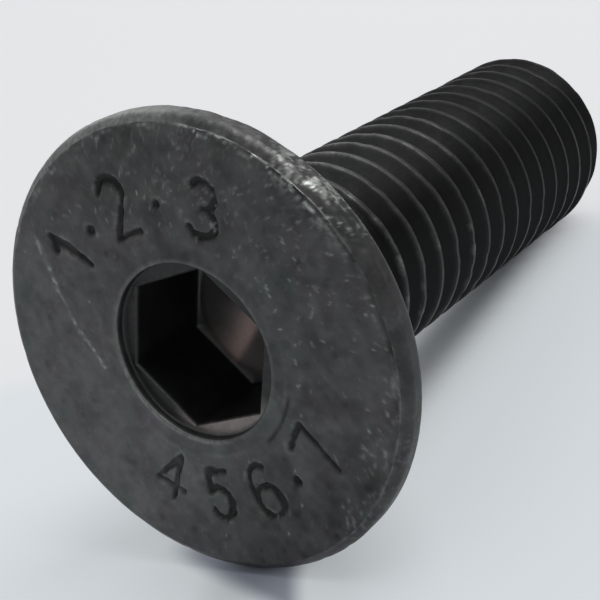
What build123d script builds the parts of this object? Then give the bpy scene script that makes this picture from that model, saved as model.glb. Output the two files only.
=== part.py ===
from build123d import *
import os
from math import atan2, ceil, degrees, radians, tan

# Countersunk socket screw, M5 x 16, lying at rest on its head's rim and its last thread.
# Lengths in millimetres, angles in degrees.

# Overall
length = 16.0                  # from the flat head face to the point
head_diameter = 9.7
thread_diameter = 4.94         # over the crests

# Head
cone_angle = 90.0              # included angle of the countersunk seat
land_depth = 0.54              # from the face to the edge where the cone begins
rim_width = 0.2                # worn rim of the flat face, inwards and along the axis
rim_share = 0.3                # where the rim's two bevels meet, as a share of that width
land_bevel = 0.06              # broken edge between the land and the cone

# Thread, right hand, in the standard metric form
thread_pitch = 0.8
first_crest = 4.56             # from the face to the first full crest, along the underside
flank_angle = 30.0             # each flank against a plane across the axis
crest_share = 1 / 8            # flat of the crest, as a share of the pitch
depth_share = 17 / 24          # depth, as a share of the full triangle's height
lead_share = 2.5               # turns of the groove's path before the first crest
lift_share = 0.3               # the cutter's flanks run past the crests by this much of a flat

# Neck under the head, and the point
neck_diameter = 4.4            # blank size left between the cone and the thread
neck_length = 0.5              # from the cone to the first thread
neck_bevel = 0.1               # eased corner where the cone meets the neck
run_in_angle = 45.0            # slope where the crests grow out of the neck
run_out_angle = 45.0           # slope of the cone on which the grooves end
run_out_lead = 0.1             # how far that cone stands off the neck's end
point_chamfer = 0.6            # along the axis
point_angle = 45.0             # slope of the point's chamfer against the axis

# Hexagon socket
socket_across_flats = 3.06
socket_depth = 2.3             # from the face to the floor's rim
floor_cone_diameter = 2.9      # the punched floor's dip leaves a narrow rim
floor_cone_depth = 0.35        # how far the floor dips at its middle
recess_diameter = 3.74         # round mouth recess that the hexagon opens into
recess_depth = 0.22
recess_edge_bevel = 0.05
socket_turn = 50.0             # turn of the hexagon about the axis

overrun = 0.5                  # how far cutters reach past the faces that they cut

# Worked out from the sizes above
head_radius = head_diameter / 2
thread_radius = thread_diameter / 2
neck_radius = neck_diameter / 2
recess_radius = recess_diameter / 2
cone_end = land_depth + (head_radius - neck_radius) / tan(radians(cone_angle / 2))
neck_end = cone_end + neck_length
thread_start = neck_end + (thread_radius - neck_radius) / tan(radians(run_in_angle))
thread_end = length - point_chamfer
point_radius = thread_radius - point_chamfer * tan(radians(point_angle))
triangle_height = thread_pitch / 2 / tan(radians(flank_angle))
thread_depth = triangle_height * depth_share
root_radius = thread_radius - thread_depth
crest_flat = thread_pitch * crest_share
groove_start = first_crest - thread_pitch * lead_share
groove_end = length + thread_pitch
groove_turns = ceil((groove_end - groove_start) / thread_pitch)
whole_turns = int((thread_end - first_crest) / thread_pitch)
last_crest = first_crest + thread_pitch * whole_turns
land_edge = land_depth - land_bevel
rest_tilt = degrees(atan2(head_radius - thread_radius, last_crest + crest_flat / 2 - land_edge))


def on_seat(x):
    """The outline's point on the countersunk seat at a distance from the face."""
    return (x, head_radius - (x - land_depth) * tan(radians(cone_angle / 2)))


def body():
    """The turned blank: face, land, cone, neck, shank over the crests and point, about X."""
    rim_middle = rim_width * rim_share
    outline = Polyline(
        (0, 0),
        (0, head_radius - rim_width),
        (rim_middle, head_radius - rim_middle),
        (rim_width, head_radius),
        (land_edge, head_radius),
        on_seat(land_depth + land_bevel),
        on_seat(cone_end - neck_bevel),
        (cone_end + neck_bevel, neck_radius),
        (neck_end, neck_radius),
        (thread_start, thread_radius),
        (thread_end, thread_radius),
        (length, point_radius),
        (length, 0),
        close=True,
    )
    return revolve(make_face(outline), Axis.X)


def socket():
    """The cutter for the socket: round mouth recess, hexagon and shallow conical floor."""
    across_plane = Plane.YZ
    hexagon = RegularPolygon(
        socket_across_flats / 2, side_count=6, major_radius=False, rotation=socket_turn
    )
    walls = extrude(across_plane * hexagon, socket_depth)
    mouth = Polyline(
        (-overrun, 0),
        (-overrun, recess_radius + recess_edge_bevel),
        (0, recess_radius + recess_edge_bevel),
        (recess_edge_bevel, recess_radius),
        (recess_depth, recess_radius),
        (recess_depth, 0),
        close=True,
    )
    dip = Polyline(
        (socket_depth, 0),
        (socket_depth, floor_cone_diameter / 2),
        (socket_depth + floor_cone_depth, 0),
        close=True,
    )
    return walls + revolve(make_face(mouth), Axis.X) + revolve(make_face(dip), Axis.X)


def groove():
    """The thread's groove: two flanks and a flat root, swept along a right-hand helix."""
    turns = [
        Helix(
            thread_pitch,
            thread_pitch,
            root_radius,
            center=(groove_start + thread_pitch * turn, 0, 0),
            direction=Axis.X.direction,
        )
        for turn in range(groove_turns)
    ]
    lift = crest_flat * lift_share
    flank_top = thread_radius + lift
    outer = thread_radius + thread_depth
    mouth_half = (thread_pitch - crest_flat) / 2 + lift * tan(radians(flank_angle))
    root_half = mouth_half - (flank_top - root_radius) * tan(radians(flank_angle))
    outline = Polyline(
        (-root_half, root_radius),
        (-mouth_half, flank_top),
        (-mouth_half, outer),
        (mouth_half, outer),
        (mouth_half, flank_top),
        (root_half, root_radius),
        close=True,
    )
    section = Pos(groove_start, 0, 0) * Plane.XZ * make_face(outline)
    return sweep(section, path=Wire(turns), is_frenet=True)


def thread_zone():
    """The space that the groove may take: it ends on a cone that rises to the neck."""
    outer = thread_radius + thread_depth + overrun
    tip = neck_end + (neck_radius + run_out_lead) / tan(radians(run_out_angle))
    outline = Polyline(
        (tip - outer / tan(radians(run_out_angle)), outer),
        (groove_end, outer),
        (groove_end, 0),
        (tip, 0),
        close=True,
    )
    return revolve(make_face(outline), Axis.X)


def thread():
    """The cutter for the thread, turned so that its stated crest lies on the underside."""
    return Rotation(180, 0, 0) * groove() & thread_zone()


def at_rest(solid):
    """Lower the point until the head's rim and the last crest touch the floor, centred there."""
    tilted = Rotation(0, rest_tilt, 0) * solid
    box = tilted.bounding_box()
    return Pos(-box.center().X, -box.center().Y, -box.min.Z) * tilted


screw = at_rest(body() - socket() - thread())

os.makedirs("parts", exist_ok=True)
export_step(screw, "parts/screw.step")
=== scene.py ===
"""Looks of a black countersunk socket screw that lies on its head's rim and its last crest."""
from math import atan2, cos, pi, radians, sin, tan

import bmesh
import bpy
import numpy as np
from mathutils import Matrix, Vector


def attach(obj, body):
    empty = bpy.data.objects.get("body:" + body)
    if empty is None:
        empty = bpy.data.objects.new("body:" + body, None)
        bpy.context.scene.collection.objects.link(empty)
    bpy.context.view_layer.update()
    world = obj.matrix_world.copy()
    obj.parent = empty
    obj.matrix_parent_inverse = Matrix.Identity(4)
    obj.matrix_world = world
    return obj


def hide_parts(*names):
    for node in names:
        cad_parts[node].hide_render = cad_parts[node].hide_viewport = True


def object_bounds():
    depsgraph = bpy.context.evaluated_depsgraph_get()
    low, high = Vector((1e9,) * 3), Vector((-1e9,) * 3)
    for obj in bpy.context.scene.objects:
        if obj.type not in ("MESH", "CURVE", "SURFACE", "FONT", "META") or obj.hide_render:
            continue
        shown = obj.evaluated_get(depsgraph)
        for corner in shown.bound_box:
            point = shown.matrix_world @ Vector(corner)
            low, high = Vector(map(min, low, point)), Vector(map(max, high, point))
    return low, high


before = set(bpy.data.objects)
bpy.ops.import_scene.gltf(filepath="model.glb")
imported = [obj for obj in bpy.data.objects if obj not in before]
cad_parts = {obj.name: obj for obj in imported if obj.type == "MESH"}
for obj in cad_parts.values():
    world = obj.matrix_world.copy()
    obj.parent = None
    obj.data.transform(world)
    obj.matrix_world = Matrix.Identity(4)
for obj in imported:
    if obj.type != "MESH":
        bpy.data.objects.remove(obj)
cad_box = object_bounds()

MM = 0.001                     # in metres

# Sizes of the CAD part, in millimetres and degrees, in the screw's own frame: X runs from the
# head's face along the axis, and angles about it turn from Y towards Z.
LENGTH = 16.0
HEAD_R = 4.85
THREAD_R = 2.47
NECK_R = 2.2
LAND_DEPTH = 0.54
FACE_EDGE_ROUND = 0.2          # worn rim of the face, inwards and along the axis
LAND_EDGE_ROUND = 0.06
NECK_LENGTH = 0.5
NECK_ROUND = 0.25
POINT_CHAMFER = 0.6
SOCKET_FLATS = 3.06
SOCKET_DEPTH = 2.3
SOCKET_TURN = 50.0
FLOOR_CONE_R = 1.45
FLOOR_CONE_DEPTH = 0.35
RECESS_R = 1.87
RECESS_DEPTH = 0.22
RECESS_BEVEL = 0.05

# Thread, right hand, in the ISO form
PITCH = 0.8
FIRST_CREST = 4.56
CREST_ANGLE = 270.0            # the first crest is measured along the underside
FLANK_ANGLE = 30.0
CREST_HALF = 1 / 16            # half of the crest's flat, as a share of the pitch
CREST_SOFT = 0.012             # depth over which the crest's edges are rounded
THREAD_DEPTH = 0.6134 * PITCH
ROOT_R = 0.1443 * PITCH
RUN_OUT_LEAD = 0.1             # how far the cone on which the grooves end stands off the neck

# Worked out from the sizes above: cone, run-in, run-out and point slope by 45 degrees
FACE_R = HEAD_R - FACE_EDGE_ROUND
RECESS_EDGE_R = RECESS_R + RECESS_BEVEL
LAND_EDGE = LAND_DEPTH - LAND_EDGE_ROUND
CONE_END = LAND_DEPTH + (HEAD_R - NECK_R)
NECK_END = CONE_END + NECK_LENGTH
RUN_OUT_TIP = NECK_END + NECK_R + RUN_OUT_LEAD
THREAD_END = LENGTH - POINT_CHAMFER
POINT_R = THREAD_R - POINT_CHAMFER
LAST_CREST = FIRST_CREST + PITCH * int((THREAD_END - FIRST_CREST) / PITCH)
REST_TILT = atan2(HEAD_R - THREAD_R, LAST_CREST + PITCH * CREST_HALF - LAND_EDGE)

# Rings of the skin, about the axis: points in a ring, and places of rings
FINE = 720
COARSE = 180
FINE_ANGLE = np.arange(FINE) * 360.0 / FINE
COARSE_ANGLE = np.arange(COARSE) * 360.0 / COARSE
DIGITS_INNER_R = 2.45
DIGITS_OUTER_R = 3.86
FACE_RING_COUNTS = (8, 31, 12)
RIM_SHARES = ((0.035, 0.9), (0.1, 0.8), (0.25, 0.55), (0.42, 0.35), (0.65, 0.16), (1.0, 0.0))
LAND_SHARES = (0.2, 0.4, 0.6, 0.8)
EDGE_LINE_DEPTH = 0.01         # rings of the rim above this depth share the face's bright edge
CONE_START = LAND_DEPTH + 0.11
CONE_SHARES = np.linspace(0.0, 0.95, 15)
NECK_ROUND_ANGLES = (45, 30, 15, 0)
THREAD_ROWS = (0.0, 0.05, 0.0625, 0.1, 0.14, 0.375, 0.43,
               0.5, 0.57, 0.625, 0.86, 0.9, 0.9375, 0.95)
THREAD_LOW_X = NECK_END - 0.1
THREAD_HIGH_X = LENGTH - 0.12
TRIM_REACH = 0.012             # grid points this near an end ring are drawn onto it
POINT_RADII = np.linspace(POINT_R - 0.12, 0.15, 10)
LEDGE_SHARES = (0.3, 0.65, 1.0)
WALL_DEPTHS = (RECESS_DEPTH + 0.035, RECESS_DEPTH + 0.12, 0.8, 1.4, 2.0, SOCKET_DEPTH - 0.05)
FLOOR_SHARES = np.linspace(1.0, 0.1, 12)

# Value noise: cells before it repeats, and the cell where the origin lies
NOISE_CELLS = 32
NOISE_OFFSET = 100.0


def smooth(low, high, value):
    """Soft step from 0 at low to 1 at high."""
    t = np.clip((value - low) / (high - low), 0.0, 1.0)
    return t * t * (3.0 - 2.0 * t)


def hump(distance, width):
    """Rounded hump, 1 at distance 0 and near 0 at twice the width."""
    return np.exp(-(distance / width) ** 2)


def turn_gap(angle, centre):
    """Signed difference of two angles in degrees, from -180 to 180."""
    return (angle - centre + 180.0) % 360.0 - 180.0


def around(angle, centre, outer, inner):
    """1 within the inner gap from the centre's angle, fading to 0 at the outer gap."""
    return smooth(outer, inner, np.abs(turn_gap(angle, centre)))


def polar(radius, angle):
    """A place in the face plane, as Y and Z."""
    return radius * cos(radians(angle)), radius * sin(radians(angle))


def spots_of(x, r, angle):
    """Points about the axis, in the screw's own frame."""
    n = len(angle)
    a = np.radians(angle)
    x = np.broadcast_to(np.asarray(x, float), (n,))
    r = np.broadcast_to(np.asarray(r, float), (n,))
    return np.stack([x, r * np.cos(a), r * np.sin(a)], 1)


def segment_distance(py, pz, a, b):
    """Distance of points from a segment in the face plane."""
    dy, dz = b[0] - a[0], b[1] - a[1]
    span = max(dy * dy + dz * dz, 1e-9)
    t = np.clip(((py - a[0]) * dy + (pz - a[1]) * dz) / span, 0.0, 1.0)
    return np.hypot(py - a[0] - t * dy, pz - a[1] - t * dz)


def value_noise(points, size, seed):
    """Smooth value noise from 0 to 1 at points in millimetres. Each use has its own seed."""
    grid = np.random.default_rng(seed).random((NOISE_CELLS,) * 3)
    p = np.asarray(points) / size + NOISE_OFFSET
    low = np.floor(p).astype(int)
    f = p - low
    f = f * f * (3.0 - 2.0 * f)
    low %= NOISE_CELLS
    high = (low + 1) % NOISE_CELLS
    total = 0.0
    for i in (0, 1):
        for j in (0, 1):
            for k in (0, 1):
                a = high[:, 0] if i else low[:, 0]
                b = high[:, 1] if j else low[:, 1]
                c = high[:, 2] if k else low[:, 2]
                weight = ((f[:, 0] if i else 1 - f[:, 0])
                          * (f[:, 1] if j else 1 - f[:, 1])
                          * (f[:, 2] if k else 1 - f[:, 2]))
                total = total + weight * grid[a, b, c]
    return total


def bow(cy, cz, ry, rz, start, end, steps=9):
    """Points of an elliptic arc, for the strokes of a digit."""
    turns = [radians(start + (end - start) * i / steps) for i in range(steps + 1)]
    return [(cy + ry * cos(turn), cz + rz * sin(turn)) for turn in turns]


# Plain digits, one unit high, as strokes of joined points: right and up from the middle
DIGITS = {
    "1": [[(-0.16, 0.28), (0.04, 0.5), (0.04, -0.5)]],
    "2": [bow(0.0, 0.24, 0.27, 0.26, 165, -25) + [(-0.27, -0.5), (0.3, -0.5)]],
    "3": [bow(-0.02, 0.25, 0.25, 0.25, 150, -90) + bow(-0.02, -0.25, 0.29, 0.25, 90, -150)[1:]],
    "4": [[(0.12, -0.5), (0.12, 0.5), (-0.3, -0.2), (0.32, -0.2)]],
    "5": [[(0.26, 0.5), (-0.2, 0.5), (-0.24, 0.06)] + bow(-0.02, -0.17, 0.28, 0.32, 125, -150)],
    "6": [bow(0.02, 0.0, 0.29, 0.5, 60, 180) + bow(0.0, -0.2, 0.27, 0.3, 180, 540, 16)],
    "7": [[(-0.28, 0.5), (0.28, 0.5), (-0.06, -0.5)]],
}

# Each digit's angle, radius, height, width share, turn and depth. The upper ones have their feet
# towards the middle and the lower ones towards the rim, so that both rows are read upright.
UPPER_MARKS = (("1", 43.0, 3.34, 1.12, 1.0, -6.0, 0.085),
               ("2", 74.0, 3.2, 1.2, 0.95, 3.0, 0.1),
               ("3", 113.5, 3.13, 1.12, 1.0, -3.0, 0.075))
LOWER_MARKS = (("4", -62.5, 3.05, 1.1, 1.0, 2.0, 0.075),
               ("5", -85.5, 3.12, 1.08, 0.9, -4.0, 0.085),
               ("6", -108.0, 3.1, 1.14, 1.0, 2.0, 0.09),
               ("7", -140.5, 3.2, 1.1, 0.95, -3.0, 0.07))
STROKE_HALF = 0.06
STROKE_SLOPE = 0.075

# Each dot's angle, radius and own radius
DOTS = ((57.5, 3.16, 0.11), (93.0, 3.07, 0.11), (-124.0, 3.24, 0.11))
DOT_DEPTH = 0.09
DOT_SLOPE = 0.06

# The slight burr along the strokes and dots
BURR_HEIGHT = 0.004
BURR_WIDTH = 0.04
BURR_GAP = 0.05

# An arc is the angle of its middle, and the gaps from it where it ends and where it is full

# The ring that the socket punch leaves, and the long mark beside it
PUNCH_RING_R = 2.24
PUNCH_RING_DEPTH = 0.02
PUNCH_RING_SLOPE = 0.1
PUNCH_RING_ARCS = ((-58, 60, 35), (-140, 30, 15))
LONG_MARK_R = 2.3
LONG_MARK_DEPTH = 0.03
LONG_MARK_ARC = (-141, 18, 12)

# The long scratch across the left of the face, as radii and angles
SCRATCH = ((4.31, 40), (4.02, 36), (3.69, 31), (3.45, 25),
           (3.18, 20), (2.98, 12.5), (2.75, 7.5), (2.43, -6.4))
SCRATCH_DEPTH = 0.012
SCRATCH_WEAR = 0.4

# Fine scuffs: count, mean angle, its spread, inner and outer radius, lean, width, brightness
SCUFFS = ((70, 104.0, 15.0, 4.25, 4.6, 0.0, 0.018, 0.13),
          (36, 148.0, 15.0, 3.7, 4.6, 40.0, 0.02, 0.3),
          (16, 182.0, 8.0, 4.3, 4.6, -80.0, 0.02, 0.28),
          (44, 216.0, 10.0, 4.0, 4.6, -120.0, 0.02, 0.36),
          (90, 108.0, 26.0, 2.8, 4.5, 35.0, 0.02, 0.26),
          (90, 112.0, 28.0, 2.8, 4.5, -50.0, 0.02, 0.26))
SCUFF_DEPTH = 0.003
NICK_COUNT = 300
NICK_DEPTH = 0.006
PIT_COUNT = 90
DENT_COUNT = 150
MARKS_OUTER_R = 4.6
SEED = 7

# Worn stretches of the rim and of the face's edge, partly painted highlight: brightness and arc;
# then arcs for the nibbled edge, the mouth, and the rim's painted shade and painted highlight
RIM_ARCS = ((0.75, 141, 18, 6), (0.1, 84, 56, 26), (0.1, -142, 26, 10))
EDGE_ARCS = ((0.85, 127, 32, 14), (0.26, 76, 52, 34), (0.08, -150, 40, 20))
NIBBLED_ARC = (165, 45, 25)
MOUTH_ARC = (-50, 60, 30)
SHADED_RIM_ARC = (195, 70, 35)
RIM_HIGHLIGHT_ARC = (70, 42, 22)

# Thread: its upper side, and where along it the worn crests, partly painted highlight, and the
# painted sheen fade
THREAD_TOP_ARC = (100, 58, 20)
CREST_SHARES = (0.135, 0.045)
CREST_FADE = (11.5, 5.5)
SHEEN_FADE = (5.0, 9.0)

# Socket: the lit stretch of its ledge, where a highlight is painted, and the painted highlight
# on its floor as Y and Z of its ends
LEDGE_ARC = (-97, 50, 27)
FLOOR_HIGHLIGHT = ((0.32, -0.4), (0.84, -0.98))


def mark_segments():
    """Each stroke of the plain digits as segments in the face plane, with its depth."""
    out = []
    for group, foot_turn in ((UPPER_MARKS, 0.0), (LOWER_MARKS, pi)):
        for name, angle, radius, height, width, turn, depth in group:
            cy, cz = polar(radius, angle)
            up = radians(angle + turn) + foot_turn
            uy, uz = cos(up), sin(up)
            ry, rz = -uz, uy
            for line in DIGITS[name]:
                spots = [(cy + height * (v * uy + width * u * ry),
                          cz + height * (v * uz + width * u * rz)) for u, v in line]
                out += [(a, b, depth) for a, b in zip(spots, spots[1:])]
    return out


class Face:
    """Depth below the flat face, bright wear, and darkening by dirt and painted shade, at many
    points of it.
    """

    def __init__(self, radius, angle):
        self.radius = radius
        self.angle = angle
        self.y = radius * np.cos(np.radians(angle))
        self.z = radius * np.sin(np.radians(angle))
        self.spots = np.stack([np.zeros_like(self.y), self.y, self.z], 1)
        self.depth = np.zeros_like(self.y)
        self.wear_and_highlight = np.zeros_like(self.y)
        self.dark = np.zeros_like(self.y)

    def noise(self, size, seed):
        """Value noise at the face's points."""
        return value_noise(self.spots, size, seed)

    def stroke(self, place, way, half):
        """Distance from a short straight stroke about a place."""
        y, z = place
        step_y, step_z = half * cos(way), half * sin(way)
        return segment_distance(self.y, self.z, (y - step_y, z - step_z),
                                (y + step_y, z + step_z))

    def forge(self):
        """Gentle waves, mottled oxide, and painted shade towards the right, the top and the
        bottom.
        """
        for size, amount, seed in ((1.9, 0.007, 1), (0.55, 0.005, 2), (0.17, 0.0028, 3)):
            self.depth += amount * (self.noise(size, seed) - 0.5)
        # Painted shade: the face is darker towards the right, the top and the bottom.
        self.dark += (0.29 * smooth(3.4, -1.4, self.y - 0.35 * self.z)
                      + 0.05 * smooth(1.0, 4.0, self.z))
        self.dark += 0.3 * smooth(-2.2, -4.4, self.z + 0.3 * self.y)
        self.dark += 0.3 * (self.noise(0.5, 12) - 0.5) + 0.34 * (self.noise(0.17, 13) - 0.5)
        self.dark += 0.12

    def punch_ring(self):
        """The shallow ring about the socket, and the long mark beside it."""
        ring_r = PUNCH_RING_R + 0.05 * (self.noise(1.1, 4) - 0.5)
        clear = sum(around(self.angle, *arc) for arc in PUNCH_RING_ARCS).clip(0, 1)
        strength = 0.25 + 0.75 * clear
        slope = PUNCH_RING_SLOPE / 2
        inside = smooth(ring_r + slope, ring_r - slope, self.radius)
        self.depth += PUNCH_RING_DEPTH * strength * inside
        edge = hump(self.radius - ring_r - 0.03, 0.03) * strength
        self.wear_and_highlight += 0.22 * edge * self.noise(0.3, 5)
        line = hump(self.radius - LONG_MARK_R, 0.035) * around(self.angle, *LONG_MARK_ARC)
        self.depth += LONG_MARK_DEPTH * line
        self.dark += 0.8 * line

    def stamp(self):
        """The plain digits and dots, with soft walls and a slight burr."""
        near = np.full_like(self.y, np.inf)
        stamped = np.zeros_like(self.y)
        rough = 0.05 * (self.noise(0.12, 10) - 0.5) + 0.06 * (self.noise(0.4, 11) - 0.5)
        for a, b, deep in mark_segments():
            away = segment_distance(self.y, self.z, a, b) + rough
            wall = smooth(STROKE_HALF + STROKE_SLOPE / 2, STROKE_HALF - STROKE_SLOPE / 2, away)
            stamped = np.maximum(stamped, deep * wall)
            near = np.minimum(near, away)
        for angle, radius, size in DOTS:
            y, z = polar(radius, angle)
            away = np.hypot(self.y - y, self.z - z) + rough
            wall = smooth(size + DOT_SLOPE / 2, size - DOT_SLOPE / 2, away)
            stamped = np.maximum(stamped, DOT_DEPTH * wall)
            near = np.minimum(near, away - size + STROKE_HALF)
        stamped = stamped * (0.5 + 0.5 * self.noise(0.45, 6))
        burr = hump(near - STROKE_HALF - BURR_GAP, BURR_WIDTH)
        self.depth += stamped
        self.depth -= BURR_HEIGHT * burr
        self.dark += 0.72 * smooth(0.006, 0.05, stamped)
        self.wear_and_highlight += 0.1 * burr * smooth(0.55, 0.8, self.noise(0.16, 8))

    def scratch(self):
        """The long worn scratch, wandering a little and broken here and there."""
        route = [polar(*place) for place in SCRATCH]
        astray = 0.09 * (self.noise(0.3, 14) - 0.5)
        broken = 0.25 + 0.75 * smooth(0.35, 0.75, self.noise(0.1, 9))
        for i, (a, b) in enumerate(zip(route, route[1:])):
            away = segment_distance(self.y, self.z, a, b) + astray
            line = hump(away, 0.035 + 0.014 * (i % 3))
            self.depth += SCRATCH_DEPTH * line * broken
            self.wear_and_highlight = np.maximum(self.wear_and_highlight, SCRATCH_WEAR * line * broken)

    def nicks(self, rng):
        """Short nicks, thickest over the upper right of the face."""
        for _ in range(NICK_COUNT):
            angle = rng.normal(140, 45)
            radius = min(MARKS_OUTER_R, 2.15 + 2.5 * rng.random() ** 0.8)
            if rng.random() < 0.25:
                angle = rng.uniform(-180, 180)
            way = radians(rng.normal(95, 38))
            half = 0.5 * abs(rng.normal(0.035, 0.055)) + 0.008
            width = rng.uniform(0.010, 0.02)
            bright = 0.4 * rng.random() ** 4 + 0.04
            line = hump(self.stroke(polar(radius, angle), way, half), width)
            self.depth += NICK_DEPTH * line
            self.wear_and_highlight = np.maximum(self.wear_and_highlight, bright * line)

    def scuffs(self, rng):
        """Fine scuffs near the upper rim, and light flecks at the right of the face."""
        for count, middle, spread, low, high, lean, width, bright in SCUFFS:
            for _ in range(count):
                angle = rng.normal(middle, spread)
                place = polar(rng.uniform(low, high), angle)
                way = radians(angle + lean + rng.normal(0, 18))
                half = rng.uniform(0.015, 0.075)
                line = hump(self.stroke(place, way, half), width)
                self.depth += SCUFF_DEPTH * line
                self.wear_and_highlight = np.maximum(self.wear_and_highlight, bright * rng.uniform(0.2, 1.0) ** 2 * line)

    def pits(self, rng):
        """Small dark pits all over the face."""
        for _ in range(PIT_COUNT):
            radius = 2.1 + 2.5 * rng.random() ** 0.7
            y, z = polar(radius, rng.uniform(-180, 180))
            size = rng.uniform(0.03, 0.09)
            pit = hump(np.hypot(self.y - y, self.z - z), size)
            self.depth += rng.uniform(0.004, 0.012) * pit
            self.dark += 0.25 * pit


def worn_arcs(angle, arcs):
    """The strongest of some worn arcs at each angle."""
    return np.max([bright * around(angle, *where) for bright, *where in arcs], axis=0)


def rim_wear_and_highlight(angle, spots):
    """Bright wear of the head's rim, partly painted highlight: strong at the upper right, patchy
    elsewhere.
    """
    base = 0.02 + worn_arcs(angle, RIM_ARCS)
    coarse = value_noise(spots, 0.24, 21)
    fine = value_noise(spots, 0.06, 22)
    return base * smooth(0.48, 0.72, 0.4 * coarse + 0.6 * fine)


def edge_line(angle, spots):
    """The thin bright line, broken here and there, where the face turns into its rim: worn edge
    with painted highlight.
    """
    base = 0.03 + worn_arcs(angle, EDGE_ARCS)
    coarse = smooth(0.2, 0.6, value_noise(spots, 0.3, 23))
    fine = smooth(0.2, 0.7, value_noise(spots, 0.07, 24))
    return base * (0.4 + 0.75 * coarse) * (0.45 + 0.7 * fine)


class Skin:
    """Points, faces and three painted values, gathered ring by ring."""

    def __init__(self):
        self.points = []
        self.faces = []
        self.painted = {"wear_and_highlight": [], "dark": [], "warm": []}
        self.count = 0
        self.sharp = set()

    def ring(self, x, r, angle, wear_and_highlight=0.0, dark=0.0, warm=0.0):
        """Adds a ring of painted points and gives their numbers."""
        n = len(angle)
        self.points.append(spots_of(x, r, angle))
        for name, value in (("wear_and_highlight", wear_and_highlight), ("dark", dark), ("warm", warm)):
            self.painted[name].append(np.broadcast_to(np.asarray(value, float), (n,)))
        ids = np.arange(self.count, self.count + n)
        self.count += n
        return ids

    def bridge(self, a, b):
        """Joins two rings with as many points."""
        quads = np.stack([a, np.roll(a, -1), np.roll(b, -1), b], 1)
        self.faces += [tuple(quad) for quad in quads.tolist()]

    def fan(self, fine, coarse):
        """Joins a ring to one with a quarter of its points."""
        n, m = len(fine), len(coarse)
        step = n // m
        half = step // 2
        for k in range(m):
            f = [int(fine[(k * step + i) % n]) for i in range(step + 1)]
            c, d = int(coarse[k]), int(coarse[(k + 1) % m])
            for i in range(half):
                self.faces.append((f[i], f[i + 1], c))
            self.faces.append((f[half], d, c))
            for i in range(half, step):
                self.faces.append((f[i], f[i + 1], d))

    def cap(self, ring, x):
        """Closes a ring to a point on the axis."""
        centre = int(self.ring(x, 0.0, np.zeros(1))[0])
        for a, b in zip(ring.tolist(), np.roll(ring, -1).tolist()):
            self.faces.append((a, b, centre))

    def crease(self, starts, ends):
        """Keeps the edges between pairs of points sharp."""
        for a, b in zip(starts.tolist(), ends.tolist()):
            self.sharp.add((min(a, b), max(a, b)))


def face_rings(skin, rng):
    """Rings of the flat face, finest where the digits are."""
    inner_count, digit_count, outer_count = FACE_RING_COUNTS
    radii = np.concatenate([
        np.linspace(RECESS_EDGE_R, DIGITS_INNER_R, inner_count)[:-1],
        np.linspace(DIGITS_INNER_R, DIGITS_OUTER_R, digit_count),
        np.linspace(DIGITS_OUTER_R, FACE_R - 0.04, outer_count)[1:],
        [FACE_R],
    ])
    rows = radii[:, None]
    grid = (len(radii), FINE)
    grid_r = np.repeat(radii, FINE)
    grid_a = np.tile(FINE_ANGLE, len(radii))

    face = Face(grid_r, grid_a)
    face.forge()
    face.punch_ring()
    face.stamp()
    face.scratch()
    face.nicks(rng)
    face.scuffs(rng)
    face.pits(rng)
    depth = face.depth.reshape(grid) * smooth(RECESS_EDGE_R, RECESS_EDGE_R + 0.12, rows)
    wear_and_highlight = face.wear_and_highlight.clip(0, 1).reshape(grid)
    dark = face.dark.clip(0, 1).reshape(grid)

    spots = spots_of(0.0, grid_r, grid_a)
    rim = rim_wear_and_highlight(grid_a, spots).reshape(grid) * smooth(4.2, 4.62, rows)
    wear_and_highlight = np.maximum(wear_and_highlight, rim * 0.4)
    stray = 0.12 * smooth(0.45, 0.8, value_noise(spots, 0.28, 26)).reshape(grid)
    line = edge_line(grid_a, spots).reshape(grid) * hump(rows - FACE_R + stray, 0.026)
    wear_and_highlight = np.maximum(wear_and_highlight, line)
    nibbled = smooth(0.5, 0.62, value_noise(spots, 0.26, 25)).reshape(grid)
    nibbled *= around(FINE_ANGLE, *NIBBLED_ARC)
    dark += 0.45 * nibbled * smooth(4.5, 4.62, rows)
    # The mouth's bright edge is wear, with a painted highlight over its lower left.
    mouth = hump(rows - RECESS_EDGE_R, 0.02) * (0.06 + 0.2 * around(FINE_ANGLE, *MOUTH_ARC))
    wear_and_highlight = np.maximum(wear_and_highlight, mouth)

    rings = [skin.ring(np.maximum(depth[i], 0.0), radii[i], FINE_ANGLE, wear_and_highlight[i], dark[i])
             for i in range(len(radii))]
    for a, b in zip(rings, rings[1:]):
        skin.bridge(a, b)
    return rings[0], rings[-1], wear_and_highlight[0]


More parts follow.
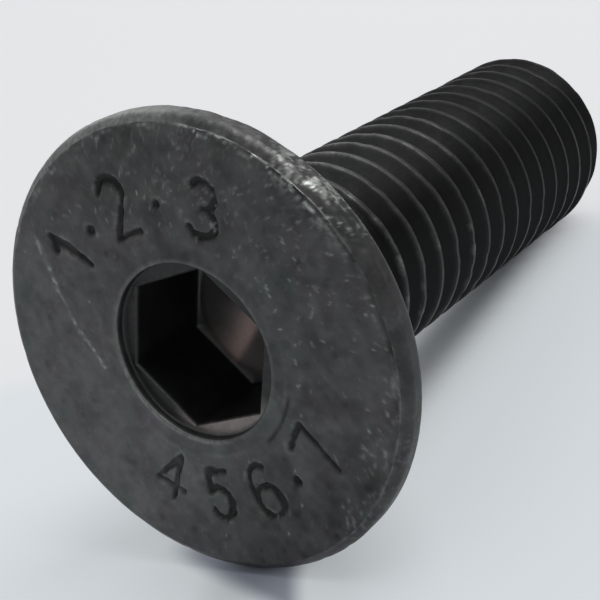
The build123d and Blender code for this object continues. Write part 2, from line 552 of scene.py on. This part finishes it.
def rim_rings(skin, rng, start):
    """The rounded edge of the face, the land and its rear edge, with small dents."""
    profile = [(FACE_EDGE_ROUND * x_share, HEAD_R - FACE_EDGE_ROUND * r_share)
               for x_share, r_share in RIM_SHARES]
    profile += [(FACE_EDGE_ROUND + share * (LAND_EDGE - FACE_EDGE_ROUND), HEAD_R)
                for share in LAND_SHARES]
    profile += [(LAND_EDGE, HEAD_R), (LAND_DEPTH, HEAD_R - LAND_EDGE_ROUND * 0.4),
                (LAND_DEPTH + LAND_EDGE_ROUND, HEAD_R - LAND_EDGE_ROUND - 0.005)]
    skin.crease(start, np.roll(start, -1))
    # Painted shade darkens the land on the rim's right side, and a painted highlight lightens
    # its upper left.
    shade = 0.2 + 0.35 * around(FINE_ANGLE, *SHADED_RIM_ARC)
    painted_rim_highlight = around(FINE_ANGLE, *RIM_HIGHLIGHT_ARC)
    dents = [(rng.normal(136, 20) if rng.random() < 0.6 else rng.uniform(-180, 180),
              rng.uniform(0.02, 0.5), rng.uniform(0.04, 0.13), rng.uniform(0.006, 0.026))
             for _ in range(DENT_COUNT)]
    before = start
    for x, r in profile:
        spots = spots_of(x, r, FINE_ANGLE)
        dent = 0.010 * (value_noise(spots, 0.5, 31) - 0.4)
        dent += 0.008 * (value_noise(spots, 0.14, 32) - 0.4)
        for angle, at, size, deep in dents:
            gap = np.radians(turn_gap(FINE_ANGLE, angle)) * HEAD_R
            dent = dent + deep * hump(np.hypot(gap, x - at), size)
        wear_and_highlight = rim_wear_and_highlight(FINE_ANGLE, spots)
        wear_and_highlight = np.maximum(wear_and_highlight, painted_rim_highlight * (0.15 + 0.26 * value_noise(spots, 0.3, 28)))
        if x < EDGE_LINE_DEPTH:
            wear_and_highlight = np.maximum(wear_and_highlight, edge_line(FINE_ANGLE, spots))
        dull = shade + 0.3 * (value_noise(spots, 0.3, 33) - 0.5) + 0.1 - 0.3 * painted_rim_highlight
        dull -= 0.3 * smooth(0.07, 0.0, x) * smooth(0.5, 0.6, value_noise(spots, 0.15, 27))
        ring = skin.ring(x, r - np.maximum(dent, 0.0), FINE_ANGLE, wear_and_highlight, dull)
        skin.bridge(before, ring)
        before = ring
    return before


def cone_rings(skin, start):
    """The cone under the head, the rounded corner at its foot, and the neck."""
    run = NECK_ROUND * tan(radians(22.5))
    profile = []
    for share in CONE_SHARES:
        x = CONE_START + share * (CONE_END - CONE_START)
        if x < CONE_END - run * 0.75:
            profile.append((x, HEAD_R - (x - LAND_DEPTH)))
    for turn in NECK_ROUND_ANGLES:
        profile.append((CONE_END + run - NECK_ROUND * sin(radians(turn)),
                        NECK_R + NECK_ROUND - NECK_ROUND * cos(radians(turn))))
    profile.append((NECK_END - 0.15, NECK_R))
    before = None
    for x, r in profile:
        spots = spots_of(x, r, COARSE_ANGLE)
        dent = 0.014 * value_noise(spots, 0.7, 41)
        wear_and_highlight = 0.08 * smooth(0.55, 0.9, value_noise(spots, 0.3, 42))
        dull = 0.55 + 0.2 * (value_noise(spots, 0.5, 43) - 0.5)
        ring = skin.ring(x, r - dent, COARSE_ANGLE, wear_and_highlight, dull)
        if before is None:
            skin.fan(start, ring)
        else:
            skin.bridge(before, ring)
        before = ring
    return before


def from_crest(phase):
    """Distance from the nearest crest, as a share of the pitch, from 0 to 0.5."""
    return np.abs((phase + 0.5) % 1.0 - 0.5)


def thread_drop(phase):
    """Depth below the crest, in millimetres, at a phase of the pitch."""
    u = from_crest(phase)
    flank = (u - CREST_HALF) * PITCH / tan(radians(FLANK_ANGLE))
    side = (0.5 - u) * PITCH
    root = THREAD_DEPTH - ROOT_R + np.sqrt(np.maximum(ROOT_R ** 2 - side ** 2, 0.0))
    drop = np.where(side < ROOT_R * cos(radians(FLANK_ANGLE)), root, flank)
    return np.where(drop < CREST_SOFT, np.maximum(drop, 0.0) ** 2 / (2 * CREST_SOFT), drop)


def thread_form(x, angle):
    """Radius of the threaded shank, and the phase of the pitch, at places along it."""
    phase = (x - FIRST_CREST) / PITCH - (angle - CREST_ANGLE) / 360.0
    grooved = np.maximum(THREAD_R - thread_drop(phase), RUN_OUT_TIP - x)
    run_in = NECK_R + np.maximum(x - NECK_END, 0.0)
    point = THREAD_R - np.maximum(x - THREAD_END, 0.0)
    return np.minimum(np.minimum(grooved, run_in), point), phase


def thread_row(skin, x):
    """One row of the thread's grid: its dents, its worn crests with painted highlight, the
    painted sheen of its upper side, and painted shade over the rest.
    """
    r, phase = thread_form(x, COARSE_ANGLE)
    spots = spots_of(x, r, COARSE_ANGLE)
    on_crest = smooth(*CREST_SHARES, from_crest(phase))
    fade = smooth(*CREST_FADE, x)
    upper = around(COARSE_ANGLE, *THREAD_TOP_ARC)
    patch = smooth(0.4, 0.8, value_noise(spots, 0.9, 51))
    # The crests' wear is partly painted highlight, as it is stronger on the upper side.
    wear_and_highlight = on_crest * (0.03 + 0.08 * patch) * fade * (0.3 + value_noise(spots, 0.2, 52))
    wear_and_highlight *= 0.6 + 1.1 * upper
    wear_and_highlight += on_crest * fade * 0.16 * smooth(0.7, 0.9, value_noise(spots, 0.3, 55))
    # The sheen is a painted highlight on the upper side; the crests' lift is a painted highlight
    # near the head and painted shade towards the point.
    sheen = upper * (0.95 - 0.35 * smooth(*SHEEN_FADE, x)) * (1.0 - 0.6 * on_crest)
    painted_crest_light = on_crest * (fade * (0.1 + 0.14 * upper) - 0.08 * (1.0 - fade))
    dent = on_crest * 0.02 * smooth(0.62, 0.85, value_noise(spots, 0.35, 53))
    dent += 0.005 * value_noise(spots, 0.45, 54)
    # The whole thread is painted dark as shade, less so where the painted highlights lie.
    return skin.ring(x, r - dent, COARSE_ANGLE, wear_and_highlight, 1.08 - painted_crest_light - 0.5 * sheen)


def thread_block(skin, start):
    """One helical grid whose rows follow the crest, trimmed by a plain ring at each end."""
    low, high = (skin.ring(x, thread_form(np.full(COARSE, x), COARSE_ANGLE)[0], COARSE_ANGLE)
                 for x in (THREAD_LOW_X, THREAD_HIGH_X))
    skin.bridge(start, low)
    base = FIRST_CREST + PITCH * (COARSE_ANGLE - CREST_ANGLE) / 360.0
    first = int((THREAD_LOW_X - base.min()) / PITCH) - 2
    turns = int((THREAD_HIGH_X - THREAD_LOW_X) / PITCH) + 4
    ids = []
    for turn in range(turns):
        for share in THREAD_ROWS:
            x = base + (first + turn + share) * PITCH
            row = thread_row(skin, x)
            row = np.where(x >= THREAD_HIGH_X - TRIM_REACH, high, row)
            ids.append(np.where(x <= THREAD_LOW_X + TRIM_REACH, low, row))
    ids = np.array(ids)

    # after a whole turn, each row goes on in the row that lies one pitch further
    beside = np.empty_like(ids)
    beside[:, :-1] = ids[:, 1:]
    beside[:-len(THREAD_ROWS), -1] = ids[len(THREAD_ROWS):, 0]
    beside[-len(THREAD_ROWS):, -1] = high[0]
    for j in range(len(ids) - 1):
        for quad in np.stack([ids[j], beside[j], beside[j + 1], ids[j + 1]], 1).tolist():
            kept = [v for i, v in enumerate(quad) if v != quad[i - 1]]
            if len(set(kept)) == len(kept) and len(kept) > 2:
                skin.faces.append(tuple(kept))
    return high


def point_rings(skin, start):
    """The end of the chamfer, its worn edge and the flat end."""
    profile = [(LENGTH - 0.05, POINT_R + 0.05), (LENGTH - 0.015, POINT_R + 0.005),
               (LENGTH, POINT_R - 0.035)]
    profile += [(LENGTH, r) for r in POINT_RADII]
    before = start
    for x, r in profile:
        spots = spots_of(x, r, COARSE_ANGLE)
        dent = 0.02 * (value_noise(spots, 0.6, 61) - 0.5) if r < 1.8 else 0.0
        wear_and_highlight = 0.14 * smooth(0.5, 0.85, value_noise(spots, 0.35, 62))
        ring = skin.ring(x - np.abs(dent), r, COARSE_ANGLE, wear_and_highlight, 0.55)
        skin.bridge(before, ring)
        before = ring
    skin.cap(before, LENGTH - 0.01)


def hexagon_radius(angle, flats):
    """Radius of the socket's hexagon at each angle."""
    turned = np.radians(turn_gap(angle, SOCKET_TURN + 30.0) % 60.0)
    turned = np.where(turned > radians(30), turned - radians(60), turned)
    return flats / 2 / np.cos(turned)


def floor_highlight_strength(py, pz):
    """The painted highlight on the socket's floor: soft on its left, sharp on its right."""
    (ay, az), (by, bz) = FLOOR_HIGHLIGHT
    span = np.hypot(by - ay, bz - az)
    side = ((py - ay) * (az - bz) + (pz - az) * (by - ay)) / span
    away = segment_distance(py, pz, *FLOOR_HIGHLIGHT)
    past = np.sqrt(np.maximum(away ** 2 - side ** 2, 0.0))
    return np.exp(-np.where(side > 0, side / 0.4, side / 0.1) ** 2 - (past / 0.25) ** 2)


def recess_rings(skin, start, mouth_wear_and_highlight):
    """The broken edge and the wall of the round mouth recess."""
    edge = skin.ring(RECESS_BEVEL * 0.35, RECESS_R + RECESS_BEVEL * 0.35, FINE_ANGLE,
                     mouth_wear_and_highlight * 0.8)
    skin.bridge(start, edge)
    # Painted shade: the recess wall is darker below its broken edge.
    wall = skin.ring(RECESS_BEVEL, RECESS_R, FINE_ANGLE, mouth_wear_and_highlight * 0.3, 0.3)
    skin.bridge(edge, wall)
    middle = skin.ring(RECESS_DEPTH * 0.6, RECESS_R, COARSE_ANGLE, 0.0, 0.6)
    skin.fan(wall, middle)
    foot = skin.ring(RECESS_DEPTH - 0.02, RECESS_R, COARSE_ANGLE, 0.0, 0.6)
    skin.bridge(middle, foot)
    return foot


def ledge_rings(skin, start):
    """The ledge between the recess and the hexagon: painted shade all round, and a painted warm
    highlight where the light falls in.
    """
    lit = around(COARSE_ANGLE, *LEDGE_ARC)
    # Painted shade outside the lit stretch; inside it, a painted highlight through the wear and
    # warm values.
    dark = 0.9 - 0.88 * lit
    outer = RECESS_R - 0.02
    before = skin.ring(RECESS_DEPTH, outer, COARSE_ANGLE, 0.0, dark)
    skin.bridge(start, before)
    mouth = hexagon_radius(COARSE_ANGLE, SOCKET_FLATS + 0.06)
    for share in LEDGE_SHARES:
        r = outer + share * (mouth - outer)
        bump = 0.012 * (value_noise(spots_of(RECESS_DEPTH, r, COARSE_ANGLE), 0.4, 71) - 0.5)
        ring = skin.ring(RECESS_DEPTH + bump * (share < 1), r, COARSE_ANGLE,
                         0.02 + 0.1 * lit, dark, 0.3 * lit)
        skin.bridge(before, ring)
        before = ring
    skin.crease(before, np.roll(before, -1))
    return before


def wall_rings(skin, start):
    """The hexagon's walls, with sharp corners between them."""
    corner_angles = (SOCKET_TURN + 60 * np.arange(6)) % 360
    corners = np.rint(corner_angles / 360 * COARSE).astype(int) % COARSE
    flats = hexagon_radius(COARSE_ANGLE, SOCKET_FLATS)
    before = start
    for x in WALL_DEPTHS:
        # Painted shade: the walls are darker deeper in.
        wear_and_highlight, dark = (0.03, 0.4) if x < 0.3 else (0.0, 0.85)
        ring = skin.ring(x, flats, COARSE_ANGLE, wear_and_highlight, dark)
        skin.bridge(before, ring)
        skin.crease(before[corners], ring[corners])
        before = ring
    return before


def floor_rings(skin, start):
    """The socket's floor: a narrow rim and a shallow dip, with painted shade and a painted
    highlight.
    """
    before = skin.ring(SOCKET_DEPTH, hexagon_radius(COARSE_ANGLE, SOCKET_FLATS - 0.08),
                       COARSE_ANGLE, 0.0, 0.4)
    skin.bridge(start, before)
    for share in FLOOR_SHARES:
        x = SOCKET_DEPTH + FLOOR_CONE_DEPTH * (1 - share)
        r = FLOOR_CONE_R * share
        spots = spots_of(x, r, COARSE_ANGLE)
        bump = 0.03 * (value_noise(spots, 0.5, 72) - 0.5) * min(1.0, 4 * share)
        floor_highlight = floor_highlight_strength(spots[:, 1], spots[:, 2])
        # Painted shade darkens the floor towards its upper side; the painted highlight lightens
        # and warms it.
        dark = (0.15 + 0.75 * smooth(-1.1, 0.45, spots[:, 2])) * (1 - floor_highlight)
        ring = skin.ring(x + bump, r, COARSE_ANGLE, 0.12 * floor_highlight, dark, 0.14 + 0.86 * floor_highlight)
        skin.bridge(before, ring)
        before = ring
    skin.cap(before, SOCKET_DEPTH + FLOOR_CONE_DEPTH)


def screw_skin():
    """The whole screw as one skin, from the face outwards to the point, then the socket."""
    rng = np.random.default_rng(SEED)
    skin = Skin()
    mouth_ring, edge_ring, mouth_wear_and_highlight = face_rings(skin, rng)
    land_ring = rim_rings(skin, rng, edge_ring)
    neck_ring = cone_rings(skin, land_ring)
    end_ring = thread_block(skin, neck_ring)
    point_rings(skin, end_ring)
    foot_ring = recess_rings(skin, mouth_ring, mouth_wear_and_highlight)
    ledge_ring = ledge_rings(skin, foot_ring)
    wall_ring = wall_rings(skin, ledge_ring)
    floor_rings(skin, wall_ring)
    return skin


def rest_place(points):
    """From the screw's own frame to the resting one, in metres, as in the CAD part."""
    t = REST_TILT
    head_end = -FACE_R * sin(t)
    point_end = LENGTH * cos(t) + POINT_R * sin(t)
    rim_foot = LAND_EDGE * sin(t) + HEAD_R * cos(t)
    x, y, z = points.T
    return np.stack([x * cos(t) + z * sin(t) - (head_end + point_end) / 2, y,
                     -x * sin(t) + z * cos(t) + rim_foot + cad_box[0][2] / MM], 1) * MM


def link(thing):
    """Puts an object into the scene."""
    bpy.context.scene.collection.objects.link(thing)
    return thing


def build_screw():
    """The screw's mesh with its painted values, sharp edges and smooth faces."""
    skin = screw_skin()
    used = np.zeros(skin.count, bool)
    for face in skin.faces:
        used[list(face)] = True
    new_id = (np.cumsum(used) - 1).tolist()
    mesh = bpy.data.meshes.new("screw_skin")
    mesh.from_pydata(rest_place(np.concatenate(skin.points))[used].tolist(), [],
                     [tuple(new_id[v] for v in face) for face in skin.faces])
    mesh.validate()
    bm = bmesh.new()
    bm.from_mesh(mesh)
    bmesh.ops.recalc_face_normals(bm, faces=bm.faces)
    bm.to_mesh(mesh)
    bm.free()
    for name, values in skin.painted.items():
        layer = mesh.attributes.new(name, "FLOAT", "POINT")
        layer.data.foreach_set("value", np.concatenate(values)[used].astype(np.float32))
    mesh.polygons.foreach_set("use_smooth", np.ones(len(mesh.polygons), bool))
    ends = np.empty(len(mesh.edges) * 2, np.int32)
    mesh.edges.foreach_get("vertices", ends)
    sharp = {tuple(sorted((new_id[a], new_id[b]))) for a, b in skin.sharp}
    layer = mesh.attributes.new("sharp_edge", "BOOLEAN", "EDGE")
    layer.data.foreach_set("value", [tuple(sorted(pair)) in sharp
                                     for pair in ends.reshape(-1, 2).tolist()])
    return link(bpy.data.objects.new("countersunk_screw", mesh))


class Nodes:
    """A material's node tree, with short ways to add and link nodes."""

    def __init__(self, name):
        self.material = bpy.data.materials.new(name)
        self.material.use_nodes = True
        self.tree = self.material.node_tree
        self.shader = self.tree.nodes["Principled BSDF"]

    def add(self, kind, **settings):
        """Adds a node and sets its properties."""
        node = self.tree.nodes.new(kind)
        for key, value in settings.items():
            setattr(node, key, value)
        return node

    def put(self, value, socket):
        """Sets a socket to a number or a colour, or links an output to it."""
        if isinstance(value, (int, float)):
            socket.default_value = value
        elif isinstance(value, tuple):
            socket.default_value = (*value, 1.0)
        else:
            self.tree.links.new(value, socket)

    def place(self):
        """The object's own coordinates."""
        return self.add("ShaderNodeTexCoord").outputs["Object"]

    def noise(self, where, scale, detail=2.0, rough=0.5):
        """Fractal noise, with its scale per metre."""
        node = self.add("ShaderNodeTexNoise")
        for key, value in (("Vector", where), ("Scale", scale),
                           ("Detail", detail), ("Roughness", rough)):
            self.put(value, node.inputs[key])
        return node.outputs["Fac"]

    def ramp(self, value, low, high, to_low=0.0, to_high=1.0):
        """Soft step of a value from one range to another."""
        node = self.add("ShaderNodeMapRange", interpolation_type="SMOOTHSTEP")
        for key, number in (("Value", value), ("From Min", low), ("From Max", high),
                            ("To Min", to_low), ("To Max", to_high)):
            self.put(number, node.inputs[key])
        return node.outputs["Result"]

    def mix(self, share, a, b):
        """One colour over another, by a share from 0 to 1."""
        node = self.add("ShaderNodeMix", data_type="RGBA")
        for index, value in ((0, share), (6, a), (7, b)):
            self.put(value, node.inputs[index])
        return node.outputs[2]

    def math(self, kind, a, b=0.0, clamp=False):
        """A sum, product or other function of one or two values."""
        node = self.add("ShaderNodeMath", operation=kind, use_clamp=clamp)
        for index, value in enumerate((a, b)):
            self.put(value, node.inputs[index])
        return node.outputs[0]

    def product(self, *values):
        """Several values multiplied."""
        total = values[0]
        for value in values[1:]:
            total = self.math("MULTIPLY", total, value)
        return total

    def attribute(self, name):
        """A value painted on the mesh."""
        return self.add("ShaderNodeAttribute", attribute_name=name).outputs["Fac"]

    def bump(self, height, strength, distance):
        """Small relief, with its distance in millimetres."""
        node = self.add("ShaderNodeBump")
        for key, value in (("Strength", strength), ("Distance", distance * MM),
                           ("Height", height)):
            self.put(value, node.inputs[key])
        self.put(node.outputs["Normal"], self.shader.inputs["Normal"])


# Colours of the screw
OXIDE_BROWN = (0.106, 0.096, 0.104)
OXIDE_GREEN = (0.1, 0.109, 0.105)
OXIDE_PALE = (0.142, 0.14, 0.138)
OXIDE_GRAIN = (0.18, 0.18, 0.175)
COPPERY = (0.42, 0.29, 0.265)
DIRT_AND_SHADE = (0.008, 0.008, 0.008)
STEEL = (0.5, 0.52, 0.49)

# Scales of the screw's noises, per metre, and its surface
BROAD_SCALE = 900
MIDDLE_SCALE = 1700
GRAIN_SCALE = 9000
PORE_SCALE = 26000
OXIDE_METALLIC = 0.85
OXIDE_ROUGHNESS = (0.42, 0.55)
OXIDE_RELIEF = (0.35, 0.006)   # strength, and distance in millimetres


def black_oxide():
    """Black oxide over steel: dark satin, mottled, rubbed through to steel where worn, with
    painted shade and painted highlights mixed into its colour.
    """
    n = Nodes("black_oxide")
    where = n.place()
    broad = n.noise(where, BROAD_SCALE, 3)
    middle = n.noise(where, MIDDLE_SCALE, 4, 0.6)
    grain = n.noise(where, GRAIN_SCALE, 3, 0.6)
    worn = n.math("MULTIPLY", n.attribute("wear_and_highlight"), n.ramp(grain, 0.3, 0.6, 0.45, 1.3), True)
    tone = n.mix(n.ramp(broad, 0.4, 0.6), OXIDE_BROWN, OXIDE_GREEN)
    tone = n.mix(n.ramp(middle, 0.35, 0.68), tone, OXIDE_PALE)
    tone = n.mix(n.ramp(grain, 0.52, 0.75, 0.0, 0.45), tone, OXIDE_GRAIN)
    # The warm value gives a slight tint inside the socket and a painted warm highlight on its
    # ledge and floor.
    tone = n.mix(n.attribute("warm"), tone, COPPERY)
    # The dark value mixes in dirt and painted shade.
    tone = n.mix(n.math("MULTIPLY", n.attribute("dark"), 0.85, True), tone, DIRT_AND_SHADE)
    # Steel shows through for real wear and for painted highlights alike.
    tone = n.mix(worn, tone, STEEL)
    n.put(tone, n.shader.inputs["Base Color"])
    rough = n.ramp(middle, 0.3, 0.7, *OXIDE_ROUGHNESS)
    rough = n.math("SUBTRACT", rough, n.math("MULTIPLY", worn, 0.12))
    n.put(rough, n.shader.inputs["Roughness"])
    n.put(OXIDE_METALLIC, n.shader.inputs["Metallic"])
    height = n.math("ADD", n.math("MULTIPLY", grain, 0.6), n.noise(where, PORE_SCALE))
    n.bump(height, *OXIDE_RELIEF)
    return n.material


# Floor, in the resting frame: the angle of the normal of a line on it, and the line's distance
FLOOR_HALF = 800.0
FLOOR_LINE = (29.736, 5.5)
FLOOR_LINE_SOFT = 1.2
NEAR_LIGHT = (0.80, 0.845, 0.875)
NEAR_DARK = (0.765, 0.81, 0.84)
FAR_TONE = (0.87, 0.873, 0.89)
CLOUD_SCALE = 60
BOARD_GRAIN_SCALE = 2500
BOARD_RELIEF = (0.08, 0.02)
BOARD_ROUGHNESS = 0.6
BOARD_SPECULAR = 0.2
FLOOR_GLOW = 0.9               # strength at which the floor's own tone is shown
FLOOR_GLOW_SHARE = 0.47        # how much of it is mixed in, away from the screw
# Near the screw the glow is held back, which paints a darker shade along it.
SHADE_HALF_LENGTH = 8.0        # half of the stretch under the screw where it is held back
SHADE_NEAR = 0.1               # from there the glow starts, off the screw's middle line
SHADE_FAR = 1.5                # and there it is full

# The painted shadow before the head: a dark wedge on the floor
WEDGE_LEFT = (-18.174, -8.43)
WEDGE_RIGHT = (-58.486, -3.46)
WEDGE_BACK = (-7.8, -7.2)      # where it fades towards the screw's point, along X
WEDGE_SIDE = (1.4, 3.0)        # where it fades sideways, along Y
WEDGE_SOFT = 0.28
WEDGE_SHARE = 0.93
WEDGE_TONE = (0.24, 0.262, 0.318)


def beyond_line(n, x, y, line, soft, to_near=0.0, to_far=1.0):
    """A soft step across a line on the floor."""
    angle, distance = line
    across = n.math("ADD", n.math("MULTIPLY", x, cos(radians(angle))),
                    n.math("MULTIPLY", y, sin(radians(angle))))
    return n.ramp(across, (distance - soft) * MM, (distance + soft) * MM, to_near, to_far)


def floor_tone(n, where, x, y):
    """White beyond a soft line, cooler and greyer on this side, and the painted shadow of the
    dark wedge.
    """
    cloud = n.noise(where, CLOUD_SCALE)
    near_tone = n.mix(n.ramp(cloud, 0.3, 0.7), NEAR_LIGHT, NEAR_DARK)
    tone = n.mix(beyond_line(n, x, y, FLOOR_LINE, FLOOR_LINE_SOFT), near_tone, FAR_TONE)
    painted_shadow = n.product(
        n.ramp(x, WEDGE_BACK[0] * MM, WEDGE_BACK[1] * MM, WEDGE_SHARE, 0.0),
        n.ramp(y, WEDGE_SIDE[0] * MM, WEDGE_SIDE[1] * MM, 1.0, 0.0),
        beyond_line(n, x, y, WEDGE_LEFT, WEDGE_SOFT),
        beyond_line(n, x, y, WEDGE_RIGHT, WEDGE_SOFT, 1.0, 0.0),
    )
    return n.mix(painted_shadow, tone, WEDGE_TONE)


def floor_glow(n, x, y):
    """How much of its own tone the floor shows to the camera and in reflections, held back near
    the screw as painted shade.
    """
    path = n.add("ShaderNodeLightPath")
    seen = n.math("ADD", path.outputs["Is Camera Ray"], path.outputs["Is Glossy Ray"])
    seen = n.math("ADD", seen, path.outputs["Is Transmission Ray"], True)
    beyond = n.math("SUBTRACT", n.math("ABSOLUTE", x), SHADE_HALF_LENGTH * MM)
    beyond = n.math("MULTIPLY", n.math("MAXIMUM", beyond, 0.0), 0.5)
    away = n.math("SQRT", n.math("ADD", n.product(beyond, beyond), n.product(y, y)))
    return n.product(seen, n.ramp(away, SHADE_NEAR * MM, SHADE_FAR * MM, 0.0, FLOOR_GLOW_SHARE))


def pale_floor():
    """Smooth white board."""
    n = Nodes("pale_floor")
    where = n.place()
    split = n.add("ShaderNodeSeparateXYZ")
    n.put(where, split.inputs[0])
    x, y = split.outputs[0], split.outputs[1]
    tone = floor_tone(n, where, x, y)
    n.put(tone, n.shader.inputs["Base Color"])
    n.put(BOARD_ROUGHNESS, n.shader.inputs["Roughness"])
    n.put(BOARD_SPECULAR, n.shader.inputs["Specular IOR Level"])
    n.bump(n.noise(where, BOARD_GRAIN_SCALE), *BOARD_RELIEF)
    own = n.add("ShaderNodeEmission")
    n.put(tone, own.inputs["Color"])
    n.put(FLOOR_GLOW, own.inputs["Strength"])
    both = n.add("ShaderNodeMixShader")
    for index, value in enumerate((floor_glow(n, x, y), n.shader.outputs[0], own.outputs[0])):
        n.put(value, both.inputs[index])
    n.put(both.outputs[0], n.tree.nodes["Material Output"].inputs["Surface"])
    return n.material


def build_floor():
    """The wide sheet that the screw lies on."""
    mesh = bpy.data.meshes.new("floor_sheet")
    h = FLOOR_HALF * MM
    mesh.from_pydata([(-h, -h, 0), (h, -h, 0), (h, h, 0), (-h, h, 0)], [], [(0, 1, 2, 3)])
    mesh.materials.append(pale_floor())
    floor = link(bpy.data.objects.new("floor", mesh))


# Camera, fitted to the photo's outline: place, turns about X, Y and Z, and lens
CAMERA_PLACE = (-24.4098, -16.9304, 15.183)
CAMERA_TURNS = (65.6867, 18.5195, -58.5724)
CAMERA_LENS = 79.2
SENSOR_WIDTH = 36.0
CLIP_NEAR = 1.0
CLIP_FAR = 10000.0


def build_camera():
    """The photo's point of view."""
    data = bpy.data.cameras.new("camera")
    data.sensor_width = SENSOR_WIDTH
    data.lens = CAMERA_LENS
    data.clip_start = CLIP_NEAR * MM
    data.clip_end = CLIP_FAR * MM
    camera = link(bpy.data.objects.new("camera", data))
    camera.location = [v * MM for v in CAMERA_PLACE]
    camera.rotation_euler = [radians(v) for v in CAMERA_TURNS]
    bpy.context.scene.camera = camera


# Square lamps that face the screw: name, place, width, and power in watts
LAMPS = (("window", (90.0, -150.0, 380.0), 260.0, 0.86),
         ("second_window", (200.0, 200.0, 250.0), 300.0, 0.27))
SKY_COLOUR = (0.97, 0.985, 1.0)
SKY_STRENGTH = 0.42


def area_lamp(name, place, width, power):
    """A square lamp that faces the screw."""
    data = bpy.data.lights.new(name, "AREA")
    data.shape = "SQUARE"
    data.size = width * MM
    data.energy = power
    lamp = link(bpy.data.objects.new(name, data))
    lamp.location = [v * MM for v in place]
    lamp.rotation_euler = (-Vector(place)).to_track_quat("-Z", "Y").to_euler()


def build_light():
    """Plain soft studio light: an even sky and two large lamps."""
    world = bpy.data.worlds.new("studio")
    world.use_nodes = True
    back = world.node_tree.nodes["Background"]
    back.inputs["Color"].default_value = (*SKY_COLOUR, 1.0)
    back.inputs["Strength"].default_value = SKY_STRENGTH
    bpy.context.scene.world = world
    for lamp in LAMPS:
        area_lamp(*lamp)
    bpy.context.scene.view_settings.view_transform = "Standard"


screw = build_screw()
screw.data.materials.append(black_oxide())
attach(screw, "root")
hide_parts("screw")
build_floor()
build_camera()
build_light()
